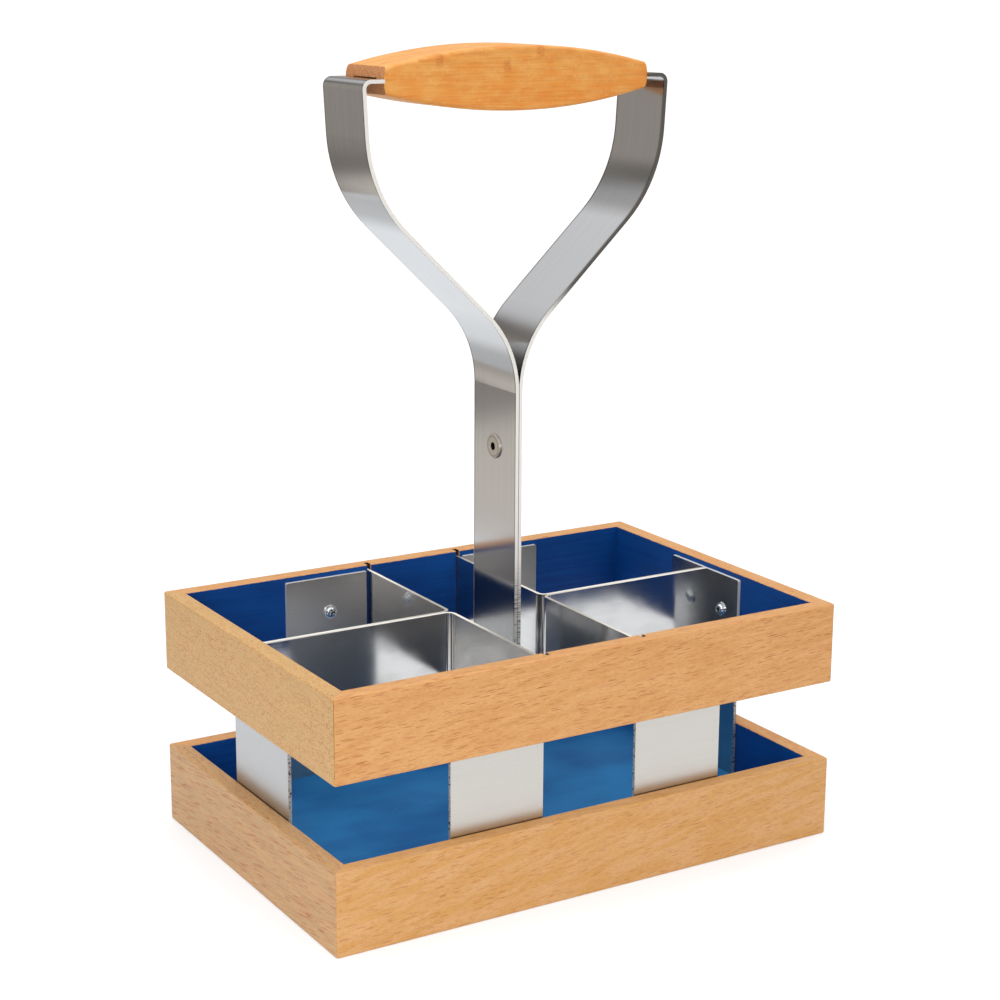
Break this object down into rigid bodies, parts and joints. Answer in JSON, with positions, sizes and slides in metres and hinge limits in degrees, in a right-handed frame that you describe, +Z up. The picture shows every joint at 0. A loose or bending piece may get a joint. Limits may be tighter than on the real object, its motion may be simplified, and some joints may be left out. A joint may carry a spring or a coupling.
{
  "type": "condiment basket",
  "caption": "Wooden condiment carrier with open stacked frames, bent steel compartment dividers and a forked strap handle with a lens-shaped bamboo grip.",
  "frame": {"origin": "on the table, under the middle of the tray", "axes": "+X along the long side, +Y to the back, +Z up along the handle stem"},
  "size_m": [0.24, 0.162, 0.3381],
  "materials": {
    "beech_boards": "clear-finished beech, blue paint on the inner faces",
    "painted_floor": "satin blue paint on plywood",
    "divider_steel": "bright rolled stainless sheet",
    "strap_steel": "stainless strap brushed along its length",
    "fasteners": "bright zinc plate",
    "rivet": "plain aluminium",
    "bamboo_grip": "oiled caramel bamboo"
  },
  "bodies": {
    "root": {"back_left_divider": "divider_steel", "back_left_post": "divider_steel", "back_right_divider": "divider_steel", "back_right_post": "divider_steel", "foot_nuts": "fasteners", "foot_screws": "fasteners", "foot_washers": "fasteners", "front_left_divider": "divider_steel", "front_left_post": "divider_steel", "front_right_divider": "divider_steel", "front_right_post": "divider_steel", "handle_grip": "bamboo_grip", "left_handle_strap": "strap_steel", "left_side_plate": "divider_steel", "lower_back_board": "beech_boards", "lower_front_board": "beech_boards", "lower_left_board": "beech_boards", "lower_plate_screws": "fasteners", "lower_right_board": "beech_boards", "right_handle_strap": "strap_steel", "right_side_plate": "divider_steel", "stem_rivet": "rivet", "tray_floor": "painted_floor", "upper_back_board": "beech_boards", "upper_front_board": "beech_boards", "upper_left_board": "beech_boards", "upper_plate_screws": "fasteners", "upper_right_board": "beech_boards"}
  },
  "joints": []
}
